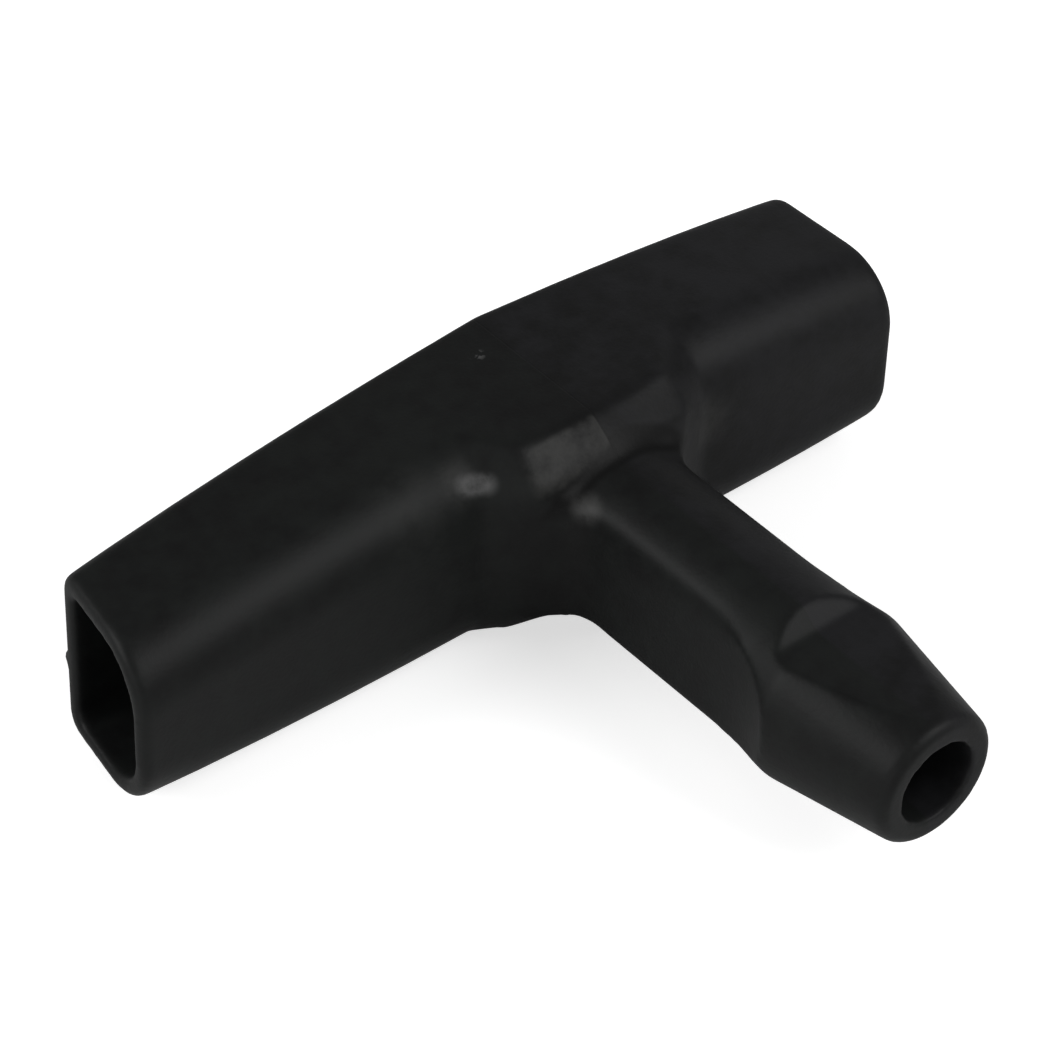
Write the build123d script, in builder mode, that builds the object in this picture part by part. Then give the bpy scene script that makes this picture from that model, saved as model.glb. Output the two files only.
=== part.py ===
from build123d import *
import math
import os

os.makedirs("parts", exist_ok=True)

# Recoil starter handle: a hollow T-shaped grip moulded in one piece.
# Millimetres. The origin is the centre of the rope bore's mouth, at the tip of the nozzle.
# +Y runs up the stem to the bar, X runs along the bar, and +Z is up with the T lying flat.

# Bar at its middle: distances from its datum, a point on the stem's axis, to the palm and the fingers
tip_to_bar = 50.5
palm_mid = 8.95
finger_mid = 7.4
half_height_mid = 10.8
palm_edge_mid = 1.0

# Long arm, towards -X: its length and the sizes of its end
long_length = 46.8
long_slant = 9.7
long_palm_end = 5.9
long_finger_end = 8.1
long_half_height_end = 8.8

# Short arm, towards +X
short_length = 34.0
short_slant = 2.0
short_palm_end = 7.45
short_finger_end = 8.7
short_half_height_end = 9.4

# Shape of both arms between the middle and the ends
arm_stations = (0.0, 0.2, 0.4, 0.6, 0.8, 1.0)
barrel_power = 2.5
palm_edge_end = 2.3
finger_edge = 6.1
rim_edge = 0.9

# Hollow of the bar, cored from both ends
end_wall = 1.7
core_mid_front = 5.8
core_mid_back = 3.8
core_mid_half_height = 6.5
core_finger_edge = 4.8
core_palm_edge = 1.2
mouth_edge = 0.3

# Neck: over the stem the bar's front stands out, with its edges cut off, up to a corner at each side.
# From there a slanting shoulder drops to the arm, and a web carries it on to the stem's flat.
# The upper cut is shallow in the middle, which leaves a step above the stem, and deepens to the corners
crest_front = 10.8
crest_cut_above = 3.1
crest_drop = 2.0
corner_drop = 3.1
crest_cut_below = 4.2
corner_place = 8.3
corner_front = 10.2
shoulder_foot = 12.1
web_fillet = 4.0
web_half_height = 6.6

# Stem: a round bar with a flat down each side
stem_radius = 7.92
stem_flat = 5.32
flat_end = 22.0
flat_runout_radius = 17.5

# Nozzle: a cone with a flat above and below
nozzle_length = 12.9
nozzle_base_radius = 8.3
nozzle_tip_radius = 6.1
nozzle_flare = 4.0
nozzle_flat = 6.3
nozzle_flat_length = 14.5
nozzle_ramp = 40.0
base_edge = 1.5
tip_edge = 0.55

# Rope way: a wide bore up the stem, then a narrower hole that holds the rope's knot in the bar
bore_radius = 3.85
bore_depth = 36.0
rope_hole_radius = 2.7
bore_seat_angle = 45.0

# Working values
overcut = 2.0
overlap = 1.0
stem_root_y = tip_to_bar - finger_mid - overlap
flat_half_height = math.sqrt(stem_radius**2 - stem_flat**2)
shoulder_slope = (corner_front - finger_mid) / (shoulder_foot - corner_place)
web_corner_y = tip_to_bar - corner_front - shoulder_slope * (corner_place - stem_flat)
web_turn = math.pi / 2 + math.atan(shoulder_slope)
web_start_y = web_corner_y - web_fillet / math.tan(web_turn / 2)


def blend(start, end, share):
    return start + (end - start) * share


def outer_size(x, arm):
    """Finger side, palm side, half height and palm edge of an arm's outside in the plane X = x."""
    share = x / arm["length"]
    front_y = tip_to_bar - blend(finger_mid, arm["finger_end"], share)
    back_y = tip_to_bar + blend(palm_mid, arm["palm_end"], share)
    half_height = blend(half_height_mid, arm["half_height_end"], share**barrel_power)
    return front_y, back_y, half_height, blend(palm_edge_mid, palm_edge_end, share)


def outer_section(x, arm):
    """Outer section of an arm: sharp towards the palm, round to the fingers."""
    front_y, back_y, half_height, palm_edge = outer_size(x, arm)
    return rounded_section(x, front_y, back_y, half_height, finger_edge, palm_edge)


def rounded_section(x, front_y, back_y, half_height, front_edge, back_edge):
    with BuildSketch(Plane.YZ.offset(x)) as section:
        with Locations(((front_y + back_y) / 2, 0)):
            Rectangle(back_y - front_y, 2 * half_height)
        fillet(section.vertices().sort_by(Axis.X)[:2], front_edge)
        fillet(section.vertices().sort_by(Axis.X)[-2:], back_edge)
    return section.sketch


def crest_section(x, arm, front, drop):
    """Section of the bar over the stem: its front edges are cut off, the lower one deeper."""
    front_y = tip_to_bar - front
    _, back_y, half_height, palm_edge = outer_size(x, arm)
    with BuildSketch(Plane.YZ.offset(x)) as section:
        with BuildLine():
            Polyline(
                (front_y + crest_cut_above, half_height),
                (front_y, half_height - drop),
                (front_y, crest_cut_below - half_height),
                (front_y + crest_cut_below, -half_height),
                (back_y, -half_height),
                (back_y, half_height),
                close=True,
            )
        make_face()
        fillet(section.vertices().sort_by(Axis.X)[-2:], palm_edge)
    return section.sketch


def outer_sections(arm):
    """Sections from the crest over the stem, by the shoulder's corner and foot, out past the arm's end."""
    places = [blend(shoulder_foot, arm["length"] + overcut, share) for share in arm_stations]
    crest = crest_section(0, arm, crest_front, crest_drop)
    corner = crest_section(corner_place, arm, corner_front, corner_drop)
    return [crest, corner] + [outer_section(place, arm) for place in places]


def core_sections(arm):
    """Sections of the hollow, from the middle of the bar out past the arm's open end."""
    mouth_front = arm["finger_end"] - end_wall
    mouth_back = arm["palm_end"] - end_wall
    mouth_half_height = arm["half_height_end"] - end_wall
    sections = []
    for place_share in arm_stations:
        x = place_share * (arm["length"] + overcut)
        share = x / arm["length"]
        front_y = tip_to_bar - blend(core_mid_front, mouth_front, share)
        back_y = tip_to_bar + blend(core_mid_back, mouth_back, share)
        half_height = blend(core_mid_half_height, mouth_half_height, share)
        sections.append(rounded_section(x, front_y, back_y, half_height, core_finger_edge, core_palm_edge))
    return sections


def end_plane(arm):
    """Plane of an arm's end face. The finger side of the arm is the longer one."""
    angle = math.radians(arm["slant"])
    return Plane(origin=(arm["length"], tip_to_bar, 0), z_dir=(math.cos(angle), math.sin(angle), 0))


def hollow_arm(arm):
    """One arm, drawn towards +X from the handle's middle plane."""
    with BuildPart() as shell:
        loft(sections=outer_sections(arm), ruled=True)
        split(bisect_by=end_plane(arm), keep=Keep.BOTTOM)
        fillet(shell.faces().sort_by(Axis.X)[-1].edges(), rim_edge)
        loft(sections=core_sections(arm), ruled=True, mode=Mode.SUBTRACT)
        end_face = shell.faces().filter_by(end_plane(arm)).sort_by(SortBy.AREA)[-1]
        chamfer(end_face.inner_wires()[0].edges(), mouth_edge)
    return shell.part


def neck_web_plan():
    """Plan of the web from the stem's flat to the shoulder's corner. Its root lies inside the stem."""
    root_x = stem_flat - overlap
    root_y = tip_to_bar - corner_front + overlap
    with BuildSketch(Plane.XY) as plan:
        with BuildLine():
            Polyline(
                (stem_flat, web_corner_y),
                (stem_flat, web_corner_y - web_fillet),
                (root_x, web_corner_y - web_fillet),
                (root_x, root_y),
                (corner_place, root_y),
                (corner_place, tip_to_bar - corner_front),
                close=True,
            )
        make_face()
        fillet(plan.vertices().sort_by_distance((stem_flat, web_corner_y, 0))[0], web_fillet)
    return plan.sketch


def neck_web_side():
    """Side view of the webs: as high as the stem's flat where they start, and higher at the bar."""
    corner_y = tip_to_bar - corner_front
    with BuildSketch(Plane.YZ) as side:
        with BuildLine():
            Polyline(
                (web_start_y, -flat_half_height),
                (corner_y, -web_half_height),
                (tip_to_bar, -web_half_height),
                (tip_to_bar, web_half_height),
                (corner_y, web_half_height),
                (web_start_y, flat_half_height),
                close=True,
            )
        make_face()
    return side.sketch


def stem_profile():
    """Half profile of the stem and nozzle, turned about the Y axis."""
    with BuildSketch(Plane.XY) as profile:
        with BuildLine():
            Polyline(
                (0, 0),
                (nozzle_tip_radius, 0),
                (nozzle_base_radius, nozzle_length),
                (stem_radius, nozzle_length + nozzle_flare),
                (stem_radius, stem_root_y),
                (0, stem_root_y),
                close=True,
            )
        make_face()
        chamfer(profile.vertices().sort_by_distance((nozzle_tip_radius, 0, 0))[0], tip_edge)
        fillet(profile.vertices().sort_by_distance((nozzle_base_radius, nozzle_length, 0))[0], base_edge)
    return profile.sketch


def side_flat_profile():
    """Plan of what is cut away beside the stem: a flat that runs out in a long arc."""
    runout = math.acos(1 - (nozzle_base_radius + overcut - stem_flat) / flat_runout_radius)
    runout_end = (nozzle_base_radius + overcut, flat_end - flat_runout_radius * math.sin(runout))
    with BuildSketch(Plane.XY) as profile:
        with BuildLine():
            flat = Line((stem_flat, stem_root_y), (stem_flat, flat_end))
            arc = TangentArc(flat @ 1, runout_end, tangent=(0, -1))
            Polyline(arc @ 1, (nozzle_base_radius + overcut, stem_root_y), flat @ 0)
        make_face()
    return profile.sketch


def nozzle_flat_profile():
    """Side view of what is cut off the top of the nozzle: a flat with a ramp up to the stem."""
    ramp_rise = nozzle_base_radius + overcut - nozzle_flat
    ramp_run = ramp_rise / math.tan(math.radians(nozzle_ramp))
    with BuildSketch(Plane.YZ) as profile:
        with BuildLine():
            Polyline(
                (-overcut, nozzle_flat),
                (nozzle_flat_length, nozzle_flat),
                (nozzle_flat_length + ramp_run, nozzle_flat + ramp_rise),
                (-overcut, nozzle_flat + ramp_rise),
                close=True,
            )
        make_face()
    return profile.sketch


def rope_way_profile():
    """Half profile of the bore, its seat and the rope hole, turned about the Y axis."""
    seat_run = (bore_radius - rope_hole_radius) / math.tan(math.radians(bore_seat_angle))
    with BuildSketch(Plane.XY) as profile:
        with BuildLine():
            Polyline(
                (0, -overcut),
                (bore_radius, -overcut),
                (bore_radius, bore_depth),
                (rope_hole_radius, bore_depth + seat_run),
                (rope_hole_radius, tip_to_bar),
                (0, tip_to_bar),
                close=True,
            )
        make_face()
    return profile.sketch


long_arm = {
    "length": long_length,
    "slant": long_slant,
    "palm_end": long_palm_end,
    "finger_end": long_finger_end,
    "half_height_end": long_half_height_end,
}
short_arm = {
    "length": short_length,
    "slant": short_slant,
    "palm_end": short_palm_end,
    "finger_end": short_finger_end,
    "half_height_end": short_half_height_end,
}

# Stem with its side flats and nozzle
with BuildPart() as stem:
    revolve(stem_profile(), axis=Axis.Y)
    for cut_profile in (side_flat_profile(), mirror(side_flat_profile(), Plane.YZ)):
        extrude(cut_profile, amount=nozzle_base_radius + overcut, both=True, mode=Mode.SUBTRACT)
    for cut_profile in (nozzle_flat_profile(), mirror(nozzle_flat_profile(), Plane.XY)):
        extrude(cut_profile, amount=nozzle_base_radius + overcut, both=True, mode=Mode.SUBTRACT)

# Webs of the neck, one at each side of the stem
with BuildPart() as neck_webs:
    for plan in (neck_web_plan(), mirror(neck_web_plan(), Plane.YZ)):
        extrude(plan, amount=web_half_height, both=True)
    extrude(neck_web_side(), amount=corner_place, both=True, mode=Mode.INTERSECT)

# Whole handle
with BuildPart() as starter_handle:
    add(mirror(hollow_arm(long_arm), Plane.YZ))
    add(hollow_arm(short_arm))
    add(stem.part)
    add(neck_webs.part)
    revolve(rope_way_profile(), axis=Axis.Y, mode=Mode.SUBTRACT)

starter_handle.part.label = "starter_handle"
export_step(starter_handle.part, "parts/starter_handle.step")
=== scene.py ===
import math

import bpy
import numpy as np
from mathutils import Matrix, Vector


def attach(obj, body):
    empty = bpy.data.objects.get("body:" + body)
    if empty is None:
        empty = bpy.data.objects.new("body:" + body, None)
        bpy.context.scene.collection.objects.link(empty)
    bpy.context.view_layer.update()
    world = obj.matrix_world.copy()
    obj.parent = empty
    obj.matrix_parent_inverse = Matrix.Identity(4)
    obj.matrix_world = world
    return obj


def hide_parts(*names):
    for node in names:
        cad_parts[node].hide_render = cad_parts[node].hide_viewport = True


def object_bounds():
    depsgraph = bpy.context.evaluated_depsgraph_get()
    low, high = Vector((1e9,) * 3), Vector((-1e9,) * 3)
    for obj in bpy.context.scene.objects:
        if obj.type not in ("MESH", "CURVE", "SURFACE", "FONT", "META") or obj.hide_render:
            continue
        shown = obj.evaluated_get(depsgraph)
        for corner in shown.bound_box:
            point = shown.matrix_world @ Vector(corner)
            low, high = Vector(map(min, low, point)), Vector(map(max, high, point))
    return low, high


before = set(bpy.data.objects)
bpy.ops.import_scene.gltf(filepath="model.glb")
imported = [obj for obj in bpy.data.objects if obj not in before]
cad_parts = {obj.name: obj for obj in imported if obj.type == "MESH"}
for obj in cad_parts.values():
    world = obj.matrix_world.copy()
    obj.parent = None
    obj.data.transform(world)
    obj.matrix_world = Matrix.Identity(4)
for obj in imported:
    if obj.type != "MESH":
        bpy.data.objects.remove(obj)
cad_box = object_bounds()

# Recoil starter handle in black moulded plastic. Metres, in the frame of the part:
# the origin is the mouth of the rope bore, +Y runs up the stem, X along the bar, +Z up.
# The long arm points to -X, and is called left here. The crest is the neck's top, over the stem.
HANDLE = "starter_handle"

# Camera, at the photo's viewing angle. Azimuth turns from the nozzle's side to the long arm's.
VIEW_AZIMUTH = math.radians(41.12)
VIEW_ELEVATION = math.radians(41.54)
VIEW_ROLL = math.radians(1.99)
VIEW_DISTANCE = 0.3908
VIEW_AIM = Vector((-0.0030, 0.0482, -0.0042))
LENS = 154.35
SENSOR = 36.0
CLIP_START = 0.01

# Dressed mesh: the size of its cells, and what it is thinned to
CELL = 0.0003
MOST_TRIANGLES = 190000

# Softening of its edges: rounds of smoothing all over, then by the weights below, and all over
# again, and how far each round moves a vertex towards its neighbours
EASING_STEPS = 6
LOCAL_STEPS = 160
LAST_STEPS = 3
EASING_FACTOR = 0.5

# Weights on the neck: full on its walls, less on the crest, hardly any on the underside.
# The walls are what lies below the crest's edge or in front of the crest.
NECK_CENTRE = Vector((0.0, 0.0405, 0.0))
NECK_REACH = Vector((0.0150, 0.0060, 0.0))
NECK_RISE = 1.6
NECK_EASING = 0.45
CREST_EDGE_Z = 0.0075
CREST_EDGE_FADE = 0.0015
CREST_FRONT = 0.0402
CREST_FRONT_FADE = 0.0008
CREST_SHARE = 0.3
UNDERSIDE_DEPTH = 0.0045
UNDERSIDE_FADE = 0.0015
UNDERSIDE_CUT = 0.9

# Weights in the valley, the arc round the stem's crown under the crest's front
VALLEY_RADIUS = 0.0085
VALLEY_WIDTH = 0.0019
VALLEY_LENGTH = 0.0018
VALLEY_RISE = 1.5
VALLEY_LOWEST = 0.0045
VALLEY_EASING = 0.8

# Weights along the stem's two upper edges, with less on the right one
STEM_START = 0.0180
STEM_FADE = 0.0040
STEM_EDGE = Vector((0.0053, 0.0, 0.0059))
STEM_EDGE_REACH = 0.0028
STEM_EDGE_FADE = 0.0010
STEM_RIGHT_SHARE = 0.25

# Outer edges, for their wear: how far a vertex stands out from a copy smoothed this often
WIDE_STEPS = 20
EDGE_LOW = 0.00008
EDGE_HIGH = 0.00030

# A small moulding pip on the palm side of the long arm's open end
PIP_PLACE = Vector((-0.0455, 0.0563, -0.0012))
PIP_RADIUS = 0.0008
PIP_HEIGHT = 0.0004

# Noises over the part's own coordinates: scale, detail and roughness
CLOUD_NOISE = (60.0, 3.0, 0.5)
BLOTCH_NOISE = (420.0, 4.0, 0.6)
GRAIN_NOISE = (2600.0, 2.0, 0.5)
SPECK_NOISE = (1900.0, 2.0, 0.5)

# Parting line in the middle: how it fades to each side, its share on the stem and where that
# ends, and how far to each side the halves' colours blend
PARTING_X = -0.0005
PARTING_HALF = (0.00003, 0.00012)
PARTING_STEM_SHARE = 0.3
PARTING_STEM_END = (0.0385, 0.0395)
HALVES_BLEND = 0.0002

# Rubbed patch on the left half of the crest. Its lower edge rises to the right, by a limit on z
# less SLANT_SLOPE times x. The pair at the end says how blotches break it up.
RUB_LEFT = -0.0090
RUB_LEFT_FADE = 0.0012
RUB_RIGHT_FADE = 0.0002
RUB_BOTTOM = (0.0066, 0.0076)
RUB_FRONT = 0.0392
RUB_FRONT_FADE = 0.0004
RUB_BACK = 0.0431
RUB_BACK_FADE = 0.0005
RUB_SLANT = 0.0093
RUB_SLANT_FADE = 0.0003
SLANT_SLOPE = 0.333
RUB_BLOTCHES = (0.28, 0.66)

# Round spots are full out to this share of their radius
SPOT_CORE = 0.1

# Spots rubbed bare, which run together where the long arm's finger edge starts: partly wear,
# partly a painted glint where that edge's highlight ends
GLINT_SPOT_PLACES = (
    (-0.0113, 0.0438, 0.0080),
    (-0.0122, 0.0441, 0.0082),
    (-0.0132, 0.0443, 0.0084),
)
GLINT_SPOT_RADIUS = 0.0014
GLINT_SPOT_BLOTCHES = (0.20, 0.60)

# Painted highlight spots, each with its centre, its radius and how blotches break it up: the tail
# of the glint at the spots rubbed bare, the arm's edge beyond it (a share of painted highlight),
# the start of the stem's upper left edge (partly in the brightest colour) and the right shoulder
# (a painted reflection)
TAIL_GLINT_SPOT = ((-0.0142, 0.0446, 0.0087), 0.0030, (0.30, 0.80))
ARM_EDGE_HIGHLIGHT_SPOT = ((-0.0185, 0.0444, 0.0084), 0.0058, (0.30, 0.90))
ARM_EDGE_HIGHLIGHT_SHARE = 0.5
STEM_HIGHLIGHT_SPOT = ((-0.0051, 0.0379, 0.0060), 0.0019, (0.20, 0.60))
STEM_HIGHLIGHT_BRIGHT_SHARE = 0.3
SHOULDER_REFLECTION_SPOT = ((0.0126, 0.0425, 0.0028), 0.0038, (0.10, 0.90))

# Nick on the top, made up of specks
NICK_PLACE = (-0.0033, 0.0548, 0.0108)
NICK_RADIUS = 0.0010
NICK_SPECKS = (0.56, 0.64)

# Painted shade in the valley under the crest: its size, how its edge fades and how low it reaches
VALLEY_SHADE_WIDTH = 0.0014
VALLEY_SHADE_LENGTH = 0.0019
VALLEY_SHADE_EDGE = (0.35, 1.1)
VALLEY_SHADE_BOTTOM = (0.0040, 0.0060)

# Plastic: linear colours, with painted shade for the valley and wear colours that also paint
# highlights, how much the outer edges wear, its sheen and its fine relief
RIGHT_COLOUR = (0.0096, 0.0097, 0.0108, 1)
LEFT_COLOUR = (0.0069, 0.0078, 0.0074, 1)
MOTTLE_COLOUR = (0.0040, 0.0041, 0.0042, 1)
MOTTLE_RANGE = (0.35, 0.65)
VALLEY_SHADE_COLOUR = (0.0008, 0.0008, 0.0008, 1)
WEAR_AND_HIGHLIGHT_COLOUR = (0.026, 0.026, 0.025, 1)
BARED_AND_GLINT_COLOUR = (0.070, 0.070, 0.070, 1)
EDGE_WEAR = 0.30
ROUGHNESS_LOW = 0.41
ROUGHNESS_SPREAD = 0.20
SPECULAR_LEVEL = 0.16
GRAIN_HEIGHT = 0.8
BLOTCH_HEIGHT = 0.5
PARTING_DEPTH = 0.4
BUMP_STRENGTH = 0.35
BUMP_DISTANCE = 0.00006

# Studio: a floor lifted to white for the camera, soft lights and a pale world
WHITE = (1, 1, 1, 1)
FLOOR_SIZE = 6.0
FLOOR_COLOUR = (0.80, 0.80, 0.80, 1)
FLOOR_LIFT = 0.62
WORLD_LIGHT = 0.20
WORLD_SEEN = 1.0

# Lights: name, direction and distance from the camera's aim, side and watts
LIGHTS = (
    ("left_light", (-0.77, 0.29, 0.55), 0.9, 0.42, 3.6),
    ("crown_light", (-0.64, 0.56, 0.50), 0.9, 0.35, 0.9),
    ("right_light", (0.37, -0.64, 0.64), 0.9, 0.52, 4.5),
    ("front_light", (-0.80, -0.55, 0.20), 0.9, 0.6, 1.7),
    ("back_light", (0.78, 0.52, 0.35), 0.9, 0.5, 0.30),
    ("top_light", (-0.2, 0.1, 1.0), 1.0, 0.8, 0.1),
)


class Nodes:
    """Adds shader nodes to one tree. A value is a number, a colour or another node's output."""

    def __init__(self, tree):
        self.tree = tree
        self.tree.nodes.clear()

    def add(self, kind, settings=None, **inputs):
        """A node with its inputs given by name, with _ for a space."""
        node = self.tree.nodes.new(kind)
        for name, value in (settings or {}).items():
            setattr(node, name, value)
        for name, value in inputs.items():
            self.put(node.inputs[name.replace("_", " ")], value)
        return node

    def put(self, socket, value):
        if isinstance(value, bpy.types.NodeSocket):
            self.tree.links.new(value, socket)
        else:
            socket.default_value = value

    def math(self, operation, first, second=0.0, clamp=False):
        node = self.add("ShaderNodeMath", {"operation": operation, "use_clamp": clamp})
        self.put(node.inputs[0], first)
        self.put(node.inputs[1], second)
        return node.outputs[0]

    def times(self, first, *others):
        for other in others:
            first = self.math("MULTIPLY", first, other)
        return first

    def most(self, first, *others):
        for other in others:
            first = self.math("MAXIMUM", first, other)
        return first

    def mix(self, factor, first, second):
        """The first colour where the factor is 0, the second where it is 1."""
        node = self.add("ShaderNodeMix", {"data_type": "RGBA"}, Factor=factor, A=first, B=second)
        return node.outputs["Result"]

    def noise(self, place, scale, detail, roughness):
        node = self.add(
            "ShaderNodeTexNoise", Vector=place, Scale=scale, Detail=detail, Roughness=roughness
        )
        return node.outputs["Fac"]

    def ramp(self, value, low, high):
        """0 below low, 1 above high, and smooth between."""
        node = self.add(
            "ShaderNodeMapRange",
            {"interpolation_type": "SMOOTHSTEP"},
            Value=value,
            From_Min=low,
            From_Max=high,
        )
        return node.outputs["Result"]

    def fall(self, value, low, high):
        """1 below low, 0 above high, and smooth between."""
        return self.math("SUBTRACT", 1.0, self.ramp(value, low, high))

    def spot(self, place, centre, radius):
        """1 in the middle of a round spot and 0 outside it."""
        gap = self.add("ShaderNodeVectorMath", {"operation": "DISTANCE"})
        self.put(gap.inputs[0], place)
        self.put(gap.inputs[1], centre)
        return self.fall(gap.outputs["Value"], SPOT_CORE * radius, radius)

    def blotched_spot(self, place, blotch, mark):
        """A round spot that blotches break up."""
        centre, radius, blotch_range = mark
        return self.times(self.spot(place, centre, radius), self.ramp(blotch, *blotch_range))


def parting_line(n, axes):
    """1 on the parting line and less on the stem, 0 elsewhere."""
    distance = n.math("ABSOLUTE", n.math("SUBTRACT", axes["X"], PARTING_X))
    line = n.fall(distance, *PARTING_HALF)
    past_stem = n.times(n.ramp(axes["Y"], *PARTING_STEM_END), 1.0 - PARTING_STEM_SHARE)
    return n.times(line, n.math("ADD", PARTING_STEM_SHARE, past_stem))


def rubbed_patch(n, axes, blotch):
    """1 on the rubbed patch of the crest, 0 elsewhere."""
    slant = n.math("SUBTRACT", axes["Z"], n.times(axes["X"], SLANT_SLOPE))
    return n.times(
        n.ramp(axes["X"], RUB_LEFT, RUB_LEFT + RUB_LEFT_FADE),
        n.ramp(axes["Z"], *RUB_BOTTOM),
        n.fall(axes["X"], PARTING_X - RUB_RIGHT_FADE, PARTING_X),
        n.ramp(axes["Y"], RUB_FRONT, RUB_FRONT + RUB_FRONT_FADE),
        n.fall(axes["Y"], RUB_BACK - RUB_BACK_FADE, RUB_BACK),
        n.ramp(slant, RUB_SLANT - RUB_SLANT_FADE, RUB_SLANT + RUB_SLANT_FADE),
        n.ramp(blotch, *RUB_BLOTCHES),
    )


def bare_and_glint_spots(n, place, blotch):
    """The row of spots rubbed bare, with their painted glint, added up to 1 at most."""
    row = n.spot(place, GLINT_SPOT_PLACES[0], GLINT_SPOT_RADIUS)
    for spot_place in GLINT_SPOT_PLACES[1:]:
        row = n.math("ADD", row, n.spot(place, spot_place, GLINT_SPOT_RADIUS), clamp=True)
    return n.times(row, n.ramp(blotch, *GLINT_SPOT_BLOTCHES))


def valley_painted_shade(n, axes):
    """Where the valley under the crest gets painted shade: 1 in the valley, 0 away from it."""
    across = n.math("ADD", n.math("POWER", axes["X"], 2.0), n.math("POWER", axes["Z"], 2.0))
    reach = n.math("SQRT", across)
    off_crown = n.math("DIVIDE", n.math("SUBTRACT", reach, VALLEY_RADIUS), VALLEY_SHADE_WIDTH)
    off_front = n.math("DIVIDE", n.math("SUBTRACT", axes["Y"], CREST_FRONT), VALLEY_SHADE_LENGTH)
    off = n.math("ADD", n.math("POWER", off_crown, 2.0), n.math("POWER", off_front, 2.0))
    return n.times(n.fall(off, *VALLEY_SHADE_EDGE), n.ramp(axes["Z"], *VALLEY_SHADE_BOTTOM))


def black_plastic():
    """Black moulded plastic: fine grain, slow changes of sheen, mould marks, wear, painted
    highlights and painted shade in the valley.
    """
    material = bpy.data.materials.new("black_plastic")
    material.use_nodes = True
    n = Nodes(material.node_tree)
    place = n.add("ShaderNodeTexCoord").outputs["Object"]
    axes = n.add("ShaderNodeSeparateXYZ", Vector=place).outputs
    edge = n.add("ShaderNodeAttribute", {"attribute_name": "edge"}).outputs["Fac"]

    cloud = n.noise(place, *CLOUD_NOISE)
    blotch = n.noise(place, *BLOTCH_NOISE)
    grain = n.noise(place, *GRAIN_NOISE)
    speck = n.ramp(n.noise(place, *SPECK_NOISE), *NICK_SPECKS)
    mottle = n.times(n.math("ADD", cloud, blotch), 0.5)

    # The stem's spot is a painted highlight; below, painted highlights and a painted reflection
    # join the real wear
    stem_highlight = n.blotched_spot(place, blotch, STEM_HIGHLIGHT_SPOT)
    wear_and_highlights = n.most(
        rubbed_patch(n, axes, blotch),
        n.blotched_spot(place, blotch, TAIL_GLINT_SPOT),
        n.times(n.blotched_spot(place, blotch, ARM_EDGE_HIGHLIGHT_SPOT), ARM_EDGE_HIGHLIGHT_SHARE),
        stem_highlight,
        n.blotched_spot(place, blotch, SHOULDER_REFLECTION_SPOT),
        n.times(edge, EDGE_WEAR),
    )
    bared_and_glints = n.most(
        bare_and_glint_spots(n, place, blotch),
        n.times(n.spot(place, NICK_PLACE, NICK_RADIUS), speck),
        n.times(stem_highlight, STEM_HIGHLIGHT_BRIGHT_SHARE),
    )

    left_half = n.fall(axes["X"], PARTING_X - HALVES_BLEND, PARTING_X + HALVES_BLEND)
    colour = n.mix(left_half, RIGHT_COLOUR, LEFT_COLOUR)
    colour = n.mix(n.ramp(mottle, *MOTTLE_RANGE), MOTTLE_COLOUR, colour)
    # Painted shade in the valley under the crest
    colour = n.mix(valley_painted_shade(n, axes), colour, VALLEY_SHADE_COLOUR)
    # Wear on the crest and outer edges, and painted highlights and a painted reflection on the
    # arm, stem and shoulder
    colour = n.mix(wear_and_highlights, colour, WEAR_AND_HIGHLIGHT_COLOUR)
    # The nick's specks, and the painted glint at the spots rubbed bare
    colour = n.mix(bared_and_glints, colour, BARED_AND_GLINT_COLOUR)

    height = n.math("ADD", n.times(grain, GRAIN_HEIGHT), n.times(blotch, BLOTCH_HEIGHT))
    height = n.math("SUBTRACT", height, n.times(parting_line(n, axes), PARTING_DEPTH))
    bump = n.add(
        "ShaderNodeBump", Strength=BUMP_STRENGTH, Distance=BUMP_DISTANCE, Height=height
    )
    shader = n.add(
        "ShaderNodeBsdfPrincipled",
        Base_Color=colour,
        Roughness=n.math("ADD", ROUGHNESS_LOW, n.times(mottle, ROUGHNESS_SPREAD)),
        Specular_IOR_Level=SPECULAR_LEVEL,
        Normal=bump.outputs["Normal"],
    )
    n.add("ShaderNodeOutputMaterial", Surface=shader.outputs[0])
    return material


def share(distance, span):
    """0 at no distance and below, 1 from the span on, and even between."""
    return np.clip(distance / span, 0.0, 1.0)


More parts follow.
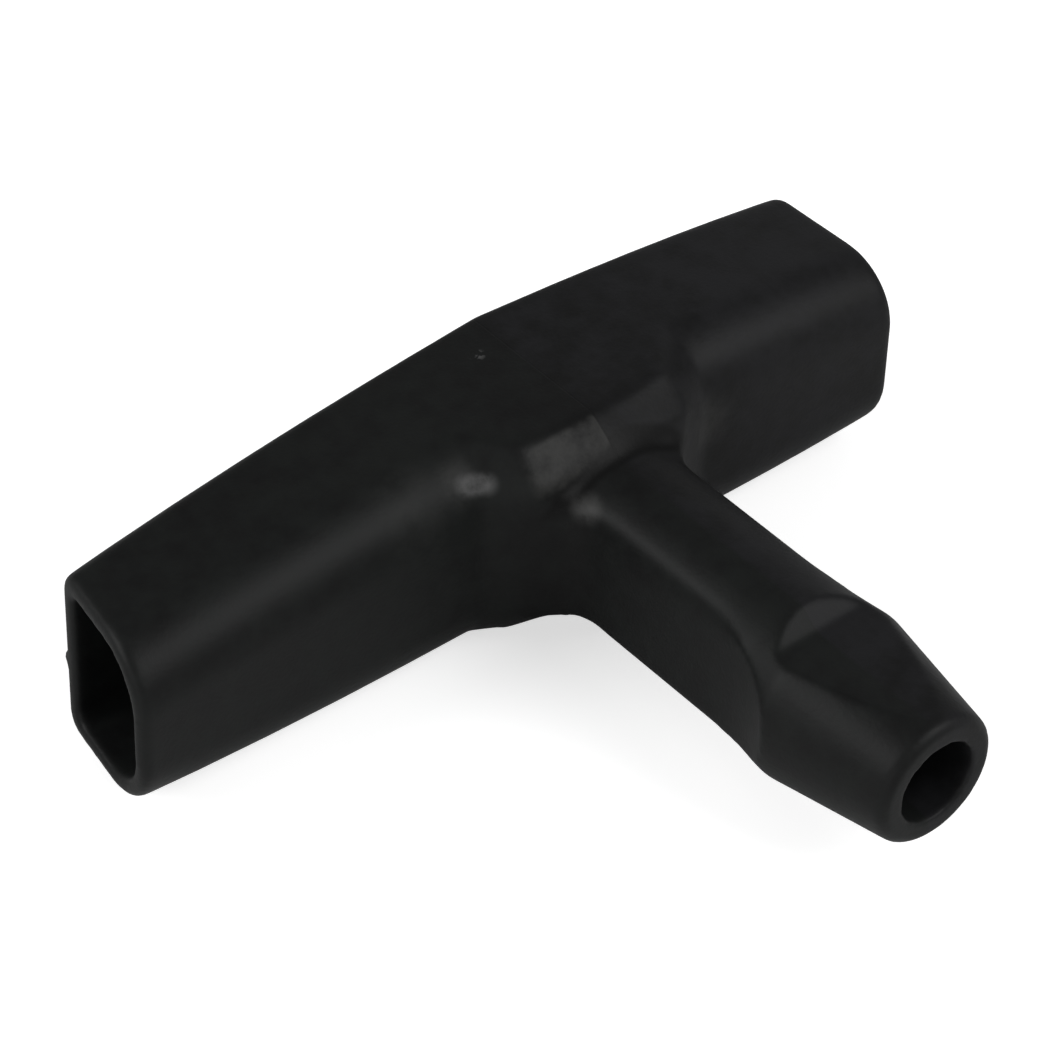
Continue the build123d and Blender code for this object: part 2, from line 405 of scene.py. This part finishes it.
def easing_weights(mesh):
    """How much the local smoothing moves each vertex: the most of the neck's, the valley's and
    the stem's weights."""
    places = np.empty(3 * len(mesh.vertices))
    mesh.vertices.foreach_get("co", places)
    x, y, z = places.reshape(-1, 3).T

    across = (x - NECK_CENTRE.x) / NECK_REACH.x
    along = (y - NECK_CENTRE.y) / NECK_REACH.y
    inside = np.clip(NECK_RISE * (1.0 - across**4 - along**4), 0.0, 1.0)
    below_crest = share(CREST_EDGE_Z - z, CREST_EDGE_FADE)
    before_crest = share(CREST_FRONT - y, CREST_FRONT_FADE)
    wall = np.maximum(below_crest, before_crest)
    under = share(-z - UNDERSIDE_DEPTH, UNDERSIDE_FADE)
    neck = NECK_EASING * inside * (CREST_SHARE + (1.0 - CREST_SHARE) * wall)
    neck *= 1.0 - UNDERSIDE_CUT * under

    off_crown = (np.hypot(x, z) - VALLEY_RADIUS) / VALLEY_WIDTH
    off_front = (y - CREST_FRONT) / VALLEY_LENGTH
    valley = np.clip(VALLEY_RISE * (1.0 - np.hypot(off_crown, off_front)), 0.0, 1.0)
    valley *= VALLEY_EASING * (z > VALLEY_LOWEST)

    length = share(y - STEM_START, STEM_FADE) * share(NECK_CENTRE.y - y, STEM_FADE)
    off_edge = np.hypot(np.abs(x) - STEM_EDGE.x, z - STEM_EDGE.z)
    side = np.where(x < 0.0, 1.0, STEM_RIGHT_SHARE)
    stem = side * length * share(STEM_EDGE_REACH - off_edge, STEM_EDGE_FADE)
    return np.maximum(np.maximum(neck, valley), stem)


def add_smoothing(skin, name, steps, group=""):
    """A smoothing modifier, on one vertex group where it is given."""
    smooth = skin.modifiers.new(name, "SMOOTH")
    smooth.factor = EASING_FACTOR
    smooth.iterations = steps
    smooth.vertex_group = group


def modified_mesh(item):
    """A new mesh of an object with its modifiers worked in."""
    graph = bpy.context.evaluated_depsgraph_get()
    return bpy.data.meshes.new_from_object(item.evaluated_get(graph))


def mark_edges(skin):
    """Stores how far each vertex stands out from a smoother copy: 0 on faces, 1 on outer edges."""
    add_smoothing(skin, "wide", WIDE_STEPS)
    smoother = modified_mesh(skin)
    skin.modifiers.clear()
    places, smooth_places, normals = (
        np.empty(3 * len(smoother.vertices)) for _ in range(3)
    )
    skin.data.vertices.foreach_get("co", places)
    smoother.vertices.foreach_get("co", smooth_places)
    skin.data.vertex_normals.foreach_get("vector", normals)
    stands = ((places - smooth_places) * normals).reshape(-1, 3).sum(axis=1)
    edge = skin.data.attributes.new("edge", "FLOAT", "POINT")
    edge.data.foreach_set("value", share(stands - EDGE_LOW, EDGE_HIGH - EDGE_LOW))
    bpy.data.meshes.remove(smoother)


def raise_pip(mesh):
    """Lifts the vertices round the pip's place outwards, towards the palm."""
    for vertex in mesh.vertices:
        far = (vertex.co - PIP_PLACE).length / PIP_RADIUS
        if far < 1.0:
            vertex.co.y += PIP_HEIGHT * (1.0 - far**2)


def eased_copy(source):
    """A fine copy of the CAD piece's mesh whose edges are softly rounded, as on a moulding."""
    rough = bpy.data.objects.new("rough", source.data.copy())
    bpy.context.collection.objects.link(rough)
    remesh = rough.modifiers.new("remesh", "REMESH")
    remesh.mode = "VOXEL"
    remesh.voxel_size = CELL
    cells = modified_mesh(rough)
    bpy.data.objects.remove(rough)

    skin = bpy.data.objects.new("handle_skin", cells)
    bpy.context.collection.objects.link(skin)
    local = skin.vertex_groups.new(name="local")
    weights = easing_weights(cells)
    for index in np.flatnonzero(weights):
        local.add([int(index)], float(weights[index]), "REPLACE")
    add_smoothing(skin, "ease", EASING_STEPS)
    add_smoothing(skin, "ease_local", LOCAL_STEPS, "local")
    add_smoothing(skin, "ease_last", LAST_STEPS)
    # Each face of the cells makes two triangles
    thin = skin.modifiers.new("thin", "DECIMATE")
    thin.ratio = min(1.0, MOST_TRIANGLES / (2 * len(cells.polygons)))
    skin.data = modified_mesh(skin)
    skin.modifiers.clear()
    skin.vertex_groups.clear()
    mark_edges(skin)
    raise_pip(skin.data)
    skin.data.shade_smooth()
    return skin


def floor_material():
    """Pale floor that the camera sees as white, with the object's shadow kept."""
    material = bpy.data.materials.new("floor")
    material.use_nodes = True
    n = Nodes(material.node_tree)
    camera_ray = n.add("ShaderNodeLightPath").outputs["Is Camera Ray"]
    plain = n.add("ShaderNodeBsdfDiffuse", Color=FLOOR_COLOUR)
    lift = n.add("ShaderNodeEmission", Color=WHITE, Strength=n.times(camera_ray, FLOOR_LIFT))
    both = n.add("ShaderNodeAddShader")
    n.put(both.inputs[0], plain.outputs[0])
    n.put(both.inputs[1], lift.outputs[0])
    n.add("ShaderNodeOutputMaterial", Surface=both.outputs[0])
    return material


def make_floor(height):
    bpy.ops.mesh.primitive_plane_add(size=FLOOR_SIZE, location=(0, 0, height))
    floor = bpy.context.object
    floor.name = "floor"
    floor.data.materials.append(floor_material())


def area_light(name, direction, distance, size, power):
    """A square soft light that looks at the camera's aim from the given direction."""
    data = bpy.data.lights.new(name, "AREA")
    data.shape = "SQUARE"
    data.size = size
    data.energy = power
    light = bpy.data.objects.new(name, data)
    bpy.context.collection.objects.link(light)
    back = Vector(direction).normalized()
    light.location = VIEW_AIM + back * distance
    light.rotation_mode = "QUATERNION"
    light.rotation_quaternion = back.to_track_quat("Z", "Y")


def make_world():
    """Soft light from all round, seen as plain white by the camera."""
    world = bpy.data.worlds.new("studio")
    bpy.context.scene.world = world
    world.use_nodes = True
    n = Nodes(world.node_tree)
    camera_ray = n.add("ShaderNodeLightPath").outputs["Is Camera Ray"]
    soft = n.add("ShaderNodeBackground", Color=WHITE, Strength=WORLD_LIGHT)
    white = n.add("ShaderNodeBackground", Color=WHITE, Strength=WORLD_SEEN)
    choice = n.add("ShaderNodeMixShader", Fac=camera_ray)
    n.put(choice.inputs[1], soft.outputs[0])
    n.put(choice.inputs[2], white.outputs[0])
    n.add("ShaderNodeOutputWorld", Surface=choice.outputs[0])


def make_camera():
    """The photo's view. The roll turns the camera about the line that it looks along."""
    back = Vector((
        -math.sin(VIEW_AZIMUTH) * math.cos(VIEW_ELEVATION),
        -math.cos(VIEW_AZIMUTH) * math.cos(VIEW_ELEVATION),
        math.sin(VIEW_ELEVATION),
    ))
    data = bpy.data.cameras.new("camera")
    data.lens = LENS
    data.sensor_width = SENSOR
    data.clip_start = CLIP_START
    camera = bpy.data.objects.new("camera", data)
    bpy.context.collection.objects.link(camera)
    turn = back.to_track_quat("Z", "Y").to_matrix() @ Matrix.Rotation(VIEW_ROLL, 3, "Z")
    camera.matrix_world = Matrix.Translation(VIEW_AIM + back * VIEW_DISTANCE) @ turn.to_4x4()
    bpy.context.scene.camera = camera


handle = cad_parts[HANDLE]
skin = eased_copy(handle)
skin.data.materials.clear()
skin.data.materials.append(black_plastic())
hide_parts(HANDLE)
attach(skin, "root")

make_floor(cad_box[0].z)
for light in LIGHTS:
    area_light(*light)
make_world()
make_camera()
bpy.context.scene.view_settings.view_transform = "Standard"
